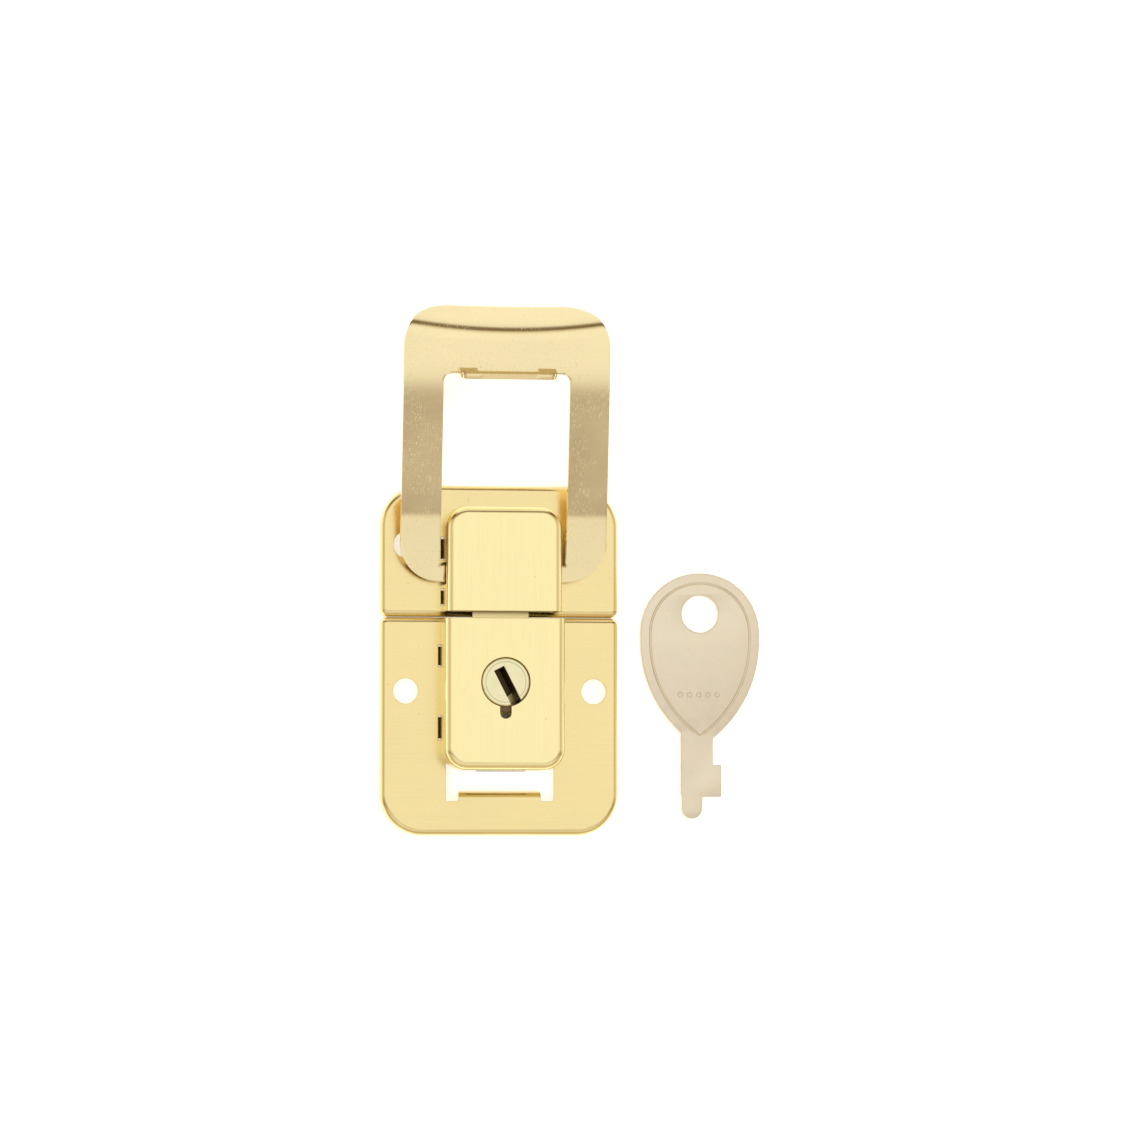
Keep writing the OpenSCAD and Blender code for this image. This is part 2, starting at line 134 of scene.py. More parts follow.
world = bpy.data.worlds.new("studio")
world.use_nodes = True
bpy.context.scene.world = world
room = world.node_tree
direction = room.nodes.new("ShaderNodeTexCoord")
split = room.nodes.new("ShaderNodeSeparateXYZ")
room.links.new(direction.outputs["Generated"], split.inputs[0])
lengthways = room.nodes.new("ShaderNodeMath")
lengthways.operation = "MULTIPLY_ADD"
lengthways.inputs[1].default_value = 0.5
lengthways.inputs[2].default_value = 0.5
room.links.new(split.outputs["Y"], lengthways.inputs[0])
sideways = room.nodes.new("ShaderNodeMath")
sideways.operation = "ABSOLUTE"
room.links.new(split.outputs["X"], sideways.inputs[0])
both = room.nodes.new("ShaderNodeMix")
both.data_type = "RGBA"
both.blend_type = "MULTIPLY"
both.inputs["Factor"].default_value = 1.0
stops = [((y + 1) / 2, tone) for y, tone in LENGTHWAYS]
room.links.new(tone_ramp(room, lengthways.outputs[0], stops), both.inputs["A"])
room.links.new(tone_ramp(room, sideways.outputs[0], SIDEWAYS), both.inputs["B"])
room.links.new(both.outputs["Result"], room.nodes["Background"].inputs["Color"])
bpy.context.scene.view_settings.view_transform = "Standard"

# %% [markdown]
# ## The table
# The latch lies on a white light table. Its faint glow keeps the screw holes and the window bright, as small
# openings would otherwise fill with shadow. The two soft lamps light the table only and stay out of the
# metal.

# %% Table and lamps
TABLE_HALF = 1.5
TABLE_DROP = 0.1 * MM                # keeps the table off the back plane, so the two never flicker
TABLE_GLOW = 0.5
table_mesh = bpy.data.meshes.new("table")
corners = [(x * TABLE_HALF, y * TABLE_HALF, 0) for x, y in ((-1, -1), (1, -1), (1, 1), (-1, 1))]
table_mesh.from_pydata(corners, [], [(0, 1, 2, 3)])
table = new_object("table", table_mesh)
table.location.z = -TABLE_DROP
table_paint = bpy.data.materials.new("table")
table_paint.use_nodes = True
paint = table_paint.node_tree.nodes["Principled BSDF"]
paint.inputs["Base Color"].default_value = (0.9, 0.9, 0.9, 1)
paint.inputs["Roughness"].default_value = 0.9
paint.inputs["Emission Color"].default_value = (1, 1, 1, 1)
paint.inputs["Emission Strength"].default_value = TABLE_GLOW
table_mesh.materials.append(table_paint)


def soft_lamp(name, place, size, power):
    """A square lamp that faces the latch and doesn't show in the metal."""
    data = bpy.data.lights.new(name, "AREA")
    data.size = size
    data.energy = power
    lamp = bpy.data.objects.new(name, data)
    bpy.context.scene.collection.objects.link(lamp)
    lamp.location = place
    lamp.rotation_mode = "QUATERNION"
    lamp.rotation_quaternion = (Vector(place) - AIM).to_track_quat("Z", "Y")
    lamp.visible_glossy = False


soft_lamp("key_lamp", (0.3, 0.5, 0.8), 0.5, 2.0)
soft_lamp("fill_lamp", (-0.5, -0.3, 0.7), 0.6, 1.5)

# %% [markdown]
# ## Metal finishes
# Bright plate is not a mirror. The sheet under it has faint rolling lines, handling leaves hair scratches in
# patches, the bath leaves the tone a little uneven and dust leaves pinholes. Each of these is one small node
# group's worth of noise at its real size, and the finishes below are different mixes of them. All patterns
# read Object coordinates, so they stay on the metal when a piece moves.

# %% Pattern helpers
NOISE_SPAN = (0.3, 0.7)              # noise seldom leaves this range
SCRATCH_TURNS = (0.3, -0.7, 1.35)    # directions of the hair scratches, in radians
SCRATCH_SCALE = (9000, 1300, 1300)   # per metre, so a scratch is about 0.1 mm wide and 0.8 mm long
MARKED_CELLS = 0.83                  # cells above this share of the pattern get a pinhole


def blank_metal(name, colour, rough):
    """A metallic material, its shader, and its Object coordinates."""
    made = bpy.data.materials.new(name)
    made.use_nodes = True
    made.diffuse_color = (*colour, 1)
    shader = made.node_tree.nodes["Principled BSDF"]
    shader.inputs["Metallic"].default_value = 1.0
    shader.inputs["Roughness"].default_value = rough
    place = made.node_tree.nodes.new("ShaderNodeTexCoord").outputs["Object"]
    return made, shader, place


def stretched_noise(tree, place, per_metre, detail=2.0, turn=0.0):
    """Noise with its own count of features per metre along each axis."""
    mapping = tree.nodes.new("ShaderNodeMapping")
    mapping.inputs["Scale"].default_value = per_metre
    mapping.inputs["Rotation"].default_value = (0, 0, turn)
    tree.links.new(place, mapping.inputs["Vector"])
    texture = tree.nodes.new("ShaderNodeTexNoise")
    texture.inputs["Scale"].default_value = 1.0
    texture.inputs["Detail"].default_value = detail
    tree.links.new(mapping.outputs[0], texture.inputs["Vector"])
    return texture.outputs["Fac"]


def refit(tree, value, low, high, new_low, new_high):
    """Map low..high to new_low..new_high, and hold the ends."""
    fit = tree.nodes.new("ShaderNodeMapRange")
    for socket, number in zip(("From Min", "From Max", "To Min", "To Max"), (low, high, new_low, new_high)):
        fit.inputs[socket].default_value = number
    tree.links.new(value, fit.inputs["Value"])
    return fit.outputs[0]


def maths(tree, kind, a, b):
    """One maths node on two values, each a number or a socket."""
    step = tree.nodes.new("ShaderNodeMath")
    step.operation = kind
    for socket, value in zip(step.inputs, (a, b)):
        if isinstance(value, (int, float)):
            socket.default_value = value
        else:
            tree.links.new(value, socket)
    return step.outputs[0]


def tinted(tree, factor, a, b):
    """Mix two colours, each a tuple or a socket."""
    mix = tree.nodes.new("ShaderNodeMix")
    mix.data_type = "RGBA"
    for socket, value in (("A", a), ("B", b)):
        if isinstance(value, tuple):
            mix.inputs[socket].default_value = (*value, 1)
        else:
            tree.links.new(value, mix.inputs[socket])
    tree.links.new(factor, mix.inputs["Factor"])
    return mix.outputs["Result"]


def darker(colour, share):
    return tuple(c * share for c in colour)


def pinholes(tree, place, per_metre, radius):
    """Small round marks in about a sixth of the cells of a Voronoi pattern."""
    cells = tree.nodes.new("ShaderNodeTexVoronoi")
    cells.inputs["Scale"].default_value = per_metre
    tree.links.new(place, cells.inputs["Vector"])
    mark = refit(tree, cells.outputs["Distance"], radius, radius * 1.6, 1.0, 0.0)
    pick = tree.nodes.new("ShaderNodeSeparateColor")
    tree.links.new(cells.outputs["Color"], pick.inputs[0])
    return maths(tree, "MULTIPLY", mark, maths(tree, "GREATER_THAN", pick.outputs[0], MARKED_CELLS))


def hair_scratches(tree, place, strength):
    """Short fine lines in three directions, gathered in patches."""
    lines = None
    for turn_angle in SCRATCH_TURNS:
        streaks = stretched_noise(tree, place, SCRATCH_SCALE, 1.0, turn_angle)
        line = refit(tree, streaks, 0.67, 0.73, 0.0, 1.0)
        lines = line if lines is None else maths(tree, "MAXIMUM", lines, line)
    patch = refit(tree, stretched_noise(tree, place, (230, 230, 230)), 0.40, 0.62, 0.0, strength)
    return maths(tree, "MULTIPLY", lines, patch)


def relief(tree, shader, height, depth):
    """Bump the surface by height times depth metres."""
    bump = tree.nodes.new("ShaderNodeBump")
    bump.inputs["Strength"].default_value = 0.25
    bump.inputs["Distance"].default_value = depth
    tree.links.new(height, bump.inputs["Height"])
    tree.links.new(bump.outputs[0], shader.inputs["Normal"])


# %% [markdown]
# ### Brass plate
# The pans, covers, tongue and loop share this finish. `lines` says which way the sheet was rolled. The loop
# is what fingers and the box wear most, so it gets more scratches. Below a given height the clinched tabs and
# the walls of the slots get painted shade: their colour goes to a dark brown and they are made rougher.

# %% Brass plate
# painted shade: the dark brown that recesses below the plate's face are tinted with
RECESS_SHADE = (0.16, 0.10, 0.045)


def brass_plate(name, colour, rough, lines="X", scratched=0.3, cloud=0.02, shade_below=None):
    made, shader, place = blank_metal(name, colour, rough)
    tree = made.node_tree
    rolled = stretched_noise(tree, place, (70, 5200, 5200) if lines == "X" else (5200, 70, 5200))
    bath = stretched_noise(tree, place, (75, 75, 75), 3.0)
    scratch = hair_scratches(tree, place, scratched)
    pin = pinholes(tree, place, 620, 0.055)
    worn = tuple(min(1.0, c * 1.12 + 0.06) for c in colour)
    cloudy = refit(tree, bath, *NOISE_SPAN, 0.0, 1.0)
    tone = tinted(tree, cloudy, darker(colour, 1 - 3 * cloud), darker(colour, 1 + cloud))
    tone = tinted(tree, refit(tree, rolled, 0.35, 0.75, 0.0, 0.10), tone, darker(colour, 0.72))
    tone = tinted(tree, maths(tree, "MULTIPLY", pin, 0.45), tone, darker(colour, 0.45))
    tone = tinted(tree, maths(tree, "MULTIPLY", scratch, 0.45), tone, worn)
    dull = refit(tree, bath, *NOISE_SPAN, rough * 0.8, rough * 1.2)
    dull = maths(tree, "ADD", dull, maths(tree, "MULTIPLY", scratch, 0.3))
    # painted shade in the recesses: below the given height the colour is mixed towards dark brown, and the
    # roughness rises
    if shade_below is not None:
        height = tree.nodes.new("ShaderNodeSeparateXYZ")
        tree.links.new(place, height.inputs[0])
        painted_shade = refit(tree, height.outputs["Z"], shade_below - 0.4 * MM, shade_below, 1.0, 0.0)
        tone = tinted(tree, painted_shade, tone, RECESS_SHADE)
        dull = maths(tree, "MAXIMUM", dull, maths(tree, "MULTIPLY", painted_shade, 0.45))
    tree.links.new(tone, shader.inputs["Base Color"])
    tree.links.new(dull, shader.inputs["Roughness"])
    dents = maths(tree, "ADD", maths(tree, "MULTIPLY", scratch, 0.3), pin)
    marks = maths(tree, "SUBTRACT", maths(tree, "MULTIPLY", rolled, 0.4), dents)
    relief(tree, shader, marks, 0.006 * MM)
    return made


# %% [markdown]
# ### Turned brass, nickel, zinc and spring steel
# The plug comes off a lathe, so its marks are rings round its own axis: a Mapping node puts the axis at zero
# and a sine of the radius draws the rings. Its slot gets painted shade: below the plug's face the colour goes
# to a dark brown and the metal is made rougher. The key is a tumbled blank with nickel plate, so it is satin
# with fine pits. Zinc plate is blue-grey and spangled, and spring steel keeps its rolling lines.

# %% Turned brass
TOOL_PITCH = 0.22 * MM               # from one turning mark to the next
# painted shade for the plug's slot and its sides below the face
SLOT_SHADE = (0.20, 0.135, 0.07)
TURNED_ROUGH = 0.24


def turned_brass(name, colour, axis_xy, groove_r, dark_under, dark_over):
    made, shader, place = blank_metal(name, colour, TURNED_ROUGH)
    tree = made.node_tree
    centred = tree.nodes.new("ShaderNodeMapping")
    centred.inputs["Location"].default_value = (-axis_xy[0], -axis_xy[1], 0)
    tree.links.new(place, centred.inputs["Vector"])
    parts = tree.nodes.new("ShaderNodeSeparateXYZ")
    tree.links.new(centred.outputs[0], parts.inputs[0])
    squares = [maths(tree, "POWER", parts.outputs[axis], 2.0) for axis in "XY"]
    radius = maths(tree, "SQRT", maths(tree, "ADD", *squares), 0.0)
    rings = maths(tree, "SINE", maths(tree, "MULTIPLY", radius, 2 * math.pi / TOOL_PITCH), 0.0)
    wobble = stretched_noise(tree, place, (900, 900, 900))
    off_groove = maths(tree, "ABSOLUTE", maths(tree, "SUBTRACT", radius, groove_r), 0.0)
    groove = refit(tree, off_groove, 0.03 * MM, 0.09 * MM, 1.0, 0.0)
    patchy = refit(tree, wobble, *NOISE_SPAN, 0.2, 1.0)
    ring_mark = maths(tree, "MULTIPLY", refit(tree, rings, -1.0, 1.0, 0.0, 1.0), patchy)
    tone = tinted(tree, ring_mark, darker(colour, 0.88), colour)
    tone = tinted(tree, groove, tone, darker(colour, 0.55))
    # painted shade: the plug below its face is tinted dark brown and made rougher
    below = refit(tree, parts.outputs["Z"], dark_under - 0.5 * MM, dark_under, 1.0, 0.0)
    above = refit(tree, parts.outputs["Z"], dark_over, dark_over + 0.3 * MM, 0.0, 1.0)
    inside = maths(tree, "MULTIPLY", below, above)
    tree.links.new(tinted(tree, inside, tone, SLOT_SHADE), shader.inputs["Base Color"])
    tree.links.new(refit(tree, inside, 0.0, 1.0, TURNED_ROUGH, 0.5), shader.inputs["Roughness"])
    relief(tree, shader, maths(tree, "SUBTRACT", ring_mark, groove), 0.008 * MM)
    return made


# %% Nickel and steels
def tumbled_nickel(name, colour):
    made, shader, place = blank_metal(name, colour, 0.34)
    tree = made.node_tree
    mottle = stretched_noise(tree, place, (420, 420, 420), 4.0)
    fine = stretched_noise(tree, place, (5200, 5200, 5200), 1.0)
    pit = pinholes(tree, place, 1500, 0.10)
    scratch = hair_scratches(tree, place, 0.5)
    tone = tinted(tree, refit(tree, mottle, *NOISE_SPAN, 0.0, 1.0), darker(colour, 0.93), darker(colour, 1.03))
    tone = tinted(tree, maths(tree, "MULTIPLY", pit, 0.4), tone, darker(colour, 0.55))
    tone = tinted(tree, maths(tree, "MULTIPLY", scratch, 0.4), tone, darker(colour, 1.2))
    tree.links.new(tone, shader.inputs["Base Color"])
    tree.links.new(refit(tree, mottle, *NOISE_SPAN, 0.30, 0.40), shader.inputs["Roughness"])
    grit = maths(tree, "SUBTRACT", maths(tree, "MULTIPLY", fine, 0.8), maths(tree, "ADD", pit, scratch))
    relief(tree, shader, grit, 0.008 * MM)
    return made


def rolled_steel(name, colour, rough, spangle):
    made, shader, place = blank_metal(name, colour, rough)
    tree = made.node_tree
    cells = tree.nodes.new("ShaderNodeTexVoronoi")
    cells.inputs["Scale"].default_value = 900
    tree.links.new(place, cells.inputs["Vector"])
    grains = tree.nodes.new("ShaderNodeSeparateColor")
    tree.links.new(cells.outputs["Color"], grains.inputs[0])
    rolled = stretched_noise(tree, place, (90, 4200, 4200))
    spangled = maths(tree, "MULTIPLY", grains.outputs[0], spangle)
    tone = tinted(tree, spangled, darker(colour, 1.08), darker(colour, 0.7))
    tree.links.new(tone, shader.inputs["Base Color"])
    tree.links.new(refit(tree, rolled, *NOISE_SPAN, rough * 0.8, rough * 1.25), shader.inputs["Roughness"])
    relief(tree, shader, rolled, 0.006 * MM)
    return made


# %% Assign the metals
plug_joint = next(joint for joint in frame["joints"] if joint["name"] == "plug_turn")
plug_axis = plug_joint["pos_m"][:2]
METALS = {
    "brass_plate": brass_plate("brass_plate", (0.885, 0.725, 0.352), 0.20),
    # the covers get painted shade on their tabs and slot walls below 1.8 mm
    "brass_cover": brass_plate("brass_cover", (0.94, 0.81, 0.415), 0.20, lines="Y", scratched=0.15, cloud=0.008,
                               shade_below=1.8 * MM),
    "brass_plug": turned_brass("brass_plug", (0.90, 0.83, 0.51), plug_axis, 3.2 * MM, 8.1 * MM, 1.3 * MM),
    "brass_loop": brass_plate("brass_loop", (0.90, 0.755, 0.43), 0.15, lines="X", scratched=1.3, cloud=0.015),
    "zinc_steel": rolled_steel("zinc_steel", (0.60, 0.61, 0.60), 0.32, 0.6),
    "spring_steel": rolled_steel("spring_steel", (0.34, 0.34, 0.35), 0.28, 0.1),
    "nickel": tumbled_nickel("nickel", (0.84, 0.74, 0.56)),
}
slot_of = {part["node"]: part["material_slot"] for part in frame["record"]["subparts"]}
for node, slot in slot_of.items():
    mesh = nodes[node].data
    mesh.materials.clear()
    mesh.materials.append(METALS[slot])
print("finishes:", sorted(METALS))

# %% [markdown]
# ## Edges that catch the light
# A CAD mesh has knife edges, but punched and drawn metal never does. The next helper takes a copy of a CAD
# node, merges its loose triangles, and rounds its edges with a small Bevel. Weighted normals then keep the
# big faces flat while the rounding shades smoothly, which is what draws the thin highlight round each hole
# and edge.

# %% Helpers for finished pieces
SHARP = math.radians(40)             # an edge that turns by more than this is an edge, and less is a bend
FLAT = math.radians(0.5)
MERGE_WITHIN = 0.002 * MM


def make_plain(piece):
    """Turn the modifiers of the piece into plain mesh."""
    graph = bpy.context.evaluated_depsgraph_get()
    plain = bpy.data.meshes.new_from_object(piece.evaluated_get(graph))
    piece.modifiers.clear()
    piece.data = plain


def round_edges(piece, width):
    """A small rounding on every sharp edge."""
    edges = piece.modifiers.new("edges", "BEVEL")
    edges.width = width
    edges.segments = 2
    edges.limit_method = "ANGLE"
    edges.angle_limit = SHARP
    normals = piece.modifiers.new("normals", "WEIGHTED_NORMAL")
    normals.keep_sharp = True
    piece.data.shade_smooth()
    make_plain(piece)


def hand_over(piece, body, slot, *replaced):
    """Give the piece its metal and its body, and hide the CAD nodes that it stands for."""
    piece.data.materials.clear()
    piece.data.materials.append(METALS[slot])
    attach(piece, body)
    if replaced:
        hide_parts(*replaced)
    print(piece.name, "faces:", len(piece.data.polygons))


def finished_copy(node, body, width):
    """The CAD node's own shape with rounded edges."""
    mesh = nodes[node].data.copy()
    mesh.name = node + "_finished"
    shape = bmesh.new()
    shape.from_mesh(mesh)
    bmesh.ops.remove_doubles(shape, verts=shape.verts, dist=MERGE_WITHIN)
    bmesh.ops.dissolve_limit(shape, angle_limit=FLAT, verts=shape.verts, edges=shape.edges)
    shape.to_mesh(mesh)
    shape.free()
    piece = new_object(node + "_finished", mesh)
    round_edges(piece, width)
    hand_over(piece, body, slot_of[node], node)


# %% [markdown]
# ### Plates, covers, plug and bolt
# The pans and covers keep their CAD shape: the bends are already there, so only punched edges need rounding.

# %% Pans, covers, plug and bolt
for node, body, width in (
    ("lock_plate", "lock_half", 0.10 * MM),
    ("lid_plate", "lid_half", 0.10 * MM),
    ("lock_cover", "lock_half", 0.09 * MM),
    ("hinge_cap", "lid_half", 0.12 * MM),
    ("guide_tongue", "lid_half", 0.08 * MM),
    ("plug", "plug", 0.05 * MM),
    ("bolt", "bolt", 0.06 * MM),
):
    finished_copy(node, body, width)

# %% [markdown]
# ## The loop
# On the real latch the loop is blanked flat and then bent, so it is made that way here. First a flat blank of
# cross-lines, with square corners that are then squeezed round. Round corners cut straight through a grid
# would leave slivers, and polished metal shows those. Then each cross-line is laid on a spine, a side view of
# the bends: a crank near the hinge, a slight bow in the bar, and the finger lip. Bending cross-lines keeps
# the sheet's length, so the bends come out round, as a press makes them.

# %% Loop sizes
HINGE_Y, HINGE_Z = 18.6, 4.2
LOOP_HALF = 16.45
WINDOW_HALF = 10.1
ROOT_END = -1.3                       # free edge of the crossbar, behind the hinge line
CROSSBAR_EDGE = 1.3
ROOT_R = 6.35
BAR_EDGE = 31.7                       # edge of the bar that carries the staple
BAR_CORNER = 1.2
KNEE = 9.5
LIP_BEND = 38.5
LIP_END = 43.36
LIP_R = 7.5
SHEET = 1.0
STAMPED_EDGE = 0.16                   # rounding of the loop's and the key's edges
ROOT_RISE, LEG_RISE, BAR_RISE, LIP_RISE = 12.0, 8.0, 3.5, -40.0    # degrees above the plate


def inner_half(d):
    """Half the width of the blank's window at distance d, or where its edge would run."""
    if d <= BAR_EDGE - BAR_CORNER:
        return WINDOW_HALF
    reach = min(d - BAR_EDGE + BAR_CORNER, BAR_CORNER)
    return WINDOW_HALF - BAR_CORNER + math.sqrt(BAR_CORNER ** 2 - reach ** 2)


def rounded(x, d):
    """Squeeze the grid of a square-cornered blank into round corners, so that its lines stay evenly spaced."""
    from_root, from_lip = ROOT_END + ROOT_R - d, d - LIP_END + LIP_R
    radius, along = (ROOT_R, from_root) if from_root > 0 else (LIP_R, from_lip)
    out = abs(x) - LOOP_HALF + radius
    if along <= 0 or out <= 0:
        return x, d
    u, v = out / radius, along / radius
    out, squeezed = out * math.sqrt(1 - v * v / 2), along * math.sqrt(1 - u * u / 2)
    x = math.copysign(LOOP_HALF - radius + out, x)
    return x, d + (along - squeezed if from_root > 0 else squeezed - along)


# %% Spine of the loop
def rise_at(d):
    """How steeply the spine rises at distance d, in degrees."""
    def eased(start, end, a, b):
        share = min(1.0, max(0.0, (d - start) / (end - start)))
        return a + (b - a) * share * share * (3 - 2 * share)

    if d < KNEE + 2:
        return eased(KNEE - 0.8, KNEE + 0.8, ROOT_RISE, LEG_RISE)
    if d < LIP_BEND - 2:
        return eased(BAR_EDGE - 4.5, BAR_EDGE + 2.5, LEG_RISE, BAR_RISE)
    return eased(LIP_BEND - 1.8, LIP_BEND + 1.8, BAR_RISE, LIP_RISE)


SPINE_STEP = 0.02
root_slope = math.radians(ROOT_RISE)
spine = [(HINGE_Y + ROOT_END * math.cos(root_slope), HINGE_Z + ROOT_END * math.sin(root_slope))]
while len(spine) * SPINE_STEP < LIP_END - ROOT_END + 2 * SPINE_STEP:
    slope = math.radians(rise_at(ROOT_END + (len(spine) - 0.5) * SPINE_STEP))
    spine.append((spine[-1][0] + SPINE_STEP * math.cos(slope), spine[-1][1] + SPINE_STEP * math.sin(slope)))


def on_spine(d):
    """Y and Z of the sheet's middle at distance d, in millimetres."""
    place = (d - ROOT_END) / SPINE_STEP
    low = min(int(place), len(spine) - 2)
    share = place - low
    return tuple(a + (b - a) * share for a, b in zip(spine[low], spine[low + 1]))


LIP_BOW = 1.3                         # how far the lip's bend bows outwards by the corners
BOW_FROM = 35.6                       # the bar is straight before this distance


def on_loop(x, d):
    """A point of the blank in space. The lip's bend bows towards the corners, where the sheet resists it."""
    x, d = rounded(x, d)
    if d < BOW_FROM:
        return (x, *on_spine(d))
    bow = LIP_BOW * (x / LOOP_HALF) ** 2
    slope = math.radians(BAR_RISE)
    y, z = on_spine(d - bow)
    return (x, y + bow * math.cos(slope), z + bow * math.sin(slope))


for spot, d in (("bend", LIP_BEND), ("end", LIP_END)):
    print("the lip's", spot, "is at y and z", [round(v, 2) for v in on_spine(d)])


# %% Cross-line blanks
MIDDLE_COLUMNS = 14


def cross_line(outer, inner, columns):
    """Places across the sheet: this many columns on each side of the window's edges, and more between them."""
    side = [outer + (inner - outer) * i / columns for i in range(columns)]
    middle = [inner * (1 - 2 * i / MIDDLE_COLUMNS) for i in range(MIDDLE_COLUMNS + 1)]
    return [-x for x in side + middle] + side[::-1]


def cross_line_sheet(name, levels, outer, inner, columns, spans_middle, place, thickness):
    """A sheet of cross-lines: place(x, d) puts a point of the blank in space, in millimetres."""
    shape = bmesh.new()
    rows = [
        [shape.verts.new(Vector(place(x, d)) * MM) for x in cross_line(outer(d), inner(d), columns)]
        for d in levels
    ]
    for (a, b), (low, high) in zip(zip(rows, rows[1:]), zip(levels, levels[1:])):
        for column in range(2 * columns + MIDDLE_COLUMNS):
            over_window = columns <= column < columns + MIDDLE_COLUMNS
            if not over_window or spans_middle((low + high) / 2):
                shape.faces.new((a[column], a[column + 1], b[column + 1], b[column]))
    bmesh.ops.remove_doubles(shape, verts=shape.verts, dist=0.001 * MM)
    bmesh.ops.recalc_face_normals(shape, faces=shape.faces)
    mesh = bpy.data.meshes.new(name)
    shape.to_mesh(mesh)
    shape.free()
    piece = new_object(name, mesh)
    wall = piece.modifiers.new("thickness", "SOLIDIFY")
    wall.thickness = thickness * MM
    wall.offset = 0
    wall.use_even_offset = True
    round_edges(piece, STAMPED_EDGE * MM)
    return piece


def span(start, end, count):
    return [start + (end - start) * i / count for i in range(count)]


def arc_span(centre, radius, first, last, count):
    """Distances along an arc of the outline, closer together where the outline turns fastest."""
    return [centre + radius * math.sin(math.radians(a)) for a in span(first, last, count)]


# %% Bend the blank
levels = (
    span(ROOT_END, CROSSBAR_EDGE, 6)
    + span(CROSSBAR_EDGE, ROOT_END + ROOT_R, 8)
    + span(ROOT_END + ROOT_R, KNEE - 0.9, 4)
    + span(KNEE - 0.9, KNEE + 0.9, 8)
    + span(KNEE + 0.9, BAR_EDGE - 5, 4)
    + span(BAR_EDGE - 5, BAR_EDGE - BAR_CORNER, 6)
    + arc_span(BAR_EDGE - BAR_CORNER, BAR_CORNER, 0, 90, 6)
    + span(BAR_EDGE, LIP_END - LIP_R, 11)
    + span(LIP_END - LIP_R, LIP_END, 38) + [LIP_END]
)
loop = cross_line_sheet(
    "loop_bent", levels, lambda d: LOOP_HALF, inner_half, 16,
    lambda d: d < CROSSBAR_EDGE or d > BAR_EDGE,
    on_loop, SHEET,
)

# %% [markdown]
# ### The staple
# A strap turned up from the bar's inner edge, with a slot across it. When the loop is shut it stands in the
# lock plate's window, and the bolt slides through its slot. It is a second small blank on a straight spine.

# %% Staple
STAPLE_HALF = 7.7
STAPLE_R = 1.3
STAPLE_LEN = 3.0
SLOT_HALF = 4.85
SLOT_END = 1.6
STAPLE_THICK = 0.9
STAPLE_AWAY = math.radians(112)                  # leans back over the window
root_y, root_z = on_spine(BAR_EDGE + STAPLE_THICK / 2)
root_z += SHEET / 2


def staple_half(h):
    if h < STAPLE_LEN - STAPLE_R:
        return STAPLE_HALF
    return STAPLE_HALF - STAPLE_R + math.sqrt(max(0.0, STAPLE_R ** 2 - (h - STAPLE_LEN + STAPLE_R) ** 2))


staple_levels = sorted(set(round(h, 3) for h in (
    [-0.45, 0.0, SLOT_END] + arc_span(STAPLE_LEN - STAPLE_R, STAPLE_R, 0, 90, 10) + [STAPLE_LEN]
)))
staple = cross_line_sheet(
    "staple", staple_levels, staple_half, lambda h: SLOT_HALF, 4, lambda h: h > SLOT_END,
    lambda x, h: (x, root_y + h * math.cos(STAPLE_AWAY), root_z + h * math.sin(STAPLE_AWAY)), STAPLE_THICK,
)
joined = bmesh.new()
joined.from_mesh(loop.data)
joined.from_mesh(staple.data)
joined.to_mesh(loop.data)
joined.free()
bpy.data.objects.remove(staple)
hand_over(loop, "loop", "brass_loop", "loop")

# %% [markdown]
# ## The key
# The blank is stamped from strip and tumbled, so all its edges are round. A flat curve with a hole in it,
# given a thickness and a bevel, makes exactly that: the curve fills itself round the ring hole. It becomes a
# mesh before it is put in its place, so the object stays at the origin.

# %% Key outline
KEY_LOW, KEY_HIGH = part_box("key")
KEY_THICK = 1.5
BOW_R = 9.65
BOW_UP = 1.2
FLANK_R = 19.8
FLANK_X = FLANK_R - BOW_R
BOW_X = (KEY_LOW[0] + KEY_HIGH[0]) / 2 / MM
BOW_Y = KEY_HIGH[1] / MM - BOW_R - BOW_UP
RING_UP = 4.3
RING_R = 2.95
RING_STEPS = 48
print("middle of the bow:", round(BOW_X, 2), round(BOW_Y, 2))


def flank(y, inset):
    """Half-width of the bow below its widest place."""
    return math.sqrt((FLANK_R - inset) ** 2 - y * y) - FLANK_X


def bow_line(inset, left_x, right_x, steps=40):
    """Points round the bow, from its lower right end over the top to its lower left end."""
    radius = BOW_R - inset
    low = [-math.sqrt((FLANK_R - inset) ** 2 - (FLANK_X + x) ** 2) for x in (right_x, left_x)]
    rightward = [(flank(low[0] * (1 - i / steps), inset), low[0] * (1 - i / steps)) for i in range(steps)]
    leftward = [(-flank(low[1] * i / steps, inset), low[1] * i / steps) for i in range(steps, 0, -1)]
    over = [(radius * math.cos(a), BOW_UP + radius * math.sin(a))
            for a in (math.pi * i / (2 * steps) for i in range(2 * steps + 1))]
    return rightward + over + leftward[::-1]


def arc_points(cx, cy, radius, first, last, steps):
    return [(cx + radius * math.cos(math.radians(a)), cy + radius * math.sin(math.radians(a)))
            for a in (first + (last - first) * i / steps for i in range(steps + 1))]


SHANK_LEFT, SHANK_RIGHT, BIT_RIGHT = -3.1, 2.1, 3.45
BIT_HIGH, BIT_LOW = -19.8, -24.9
HEEL_UP, HEEL_IN = 0.6, 0.15          # where the shank draws in above the tip
TIP_X, TIP_R, TIP_LOW = -1.3, 1.65, -28.4
outline = bow_line(0.0, -SHANK_LEFT, SHANK_RIGHT)
outline += [(SHANK_LEFT, BIT_LOW + HEEL_UP), (SHANK_LEFT + HEEL_IN, BIT_LOW)]
outline += arc_points(TIP_X, TIP_LOW + TIP_R, TIP_R, 180, 360, 18)
outline += [(TIP_X + TIP_R, BIT_LOW), (BIT_RIGHT, BIT_LOW), (BIT_RIGHT, BIT_HIGH), (SHANK_RIGHT, BIT_HIGH)]
ring_hole = arc_points(0, RING_UP, RING_R, 0, 360 - 360 / RING_STEPS, RING_STEPS - 1)


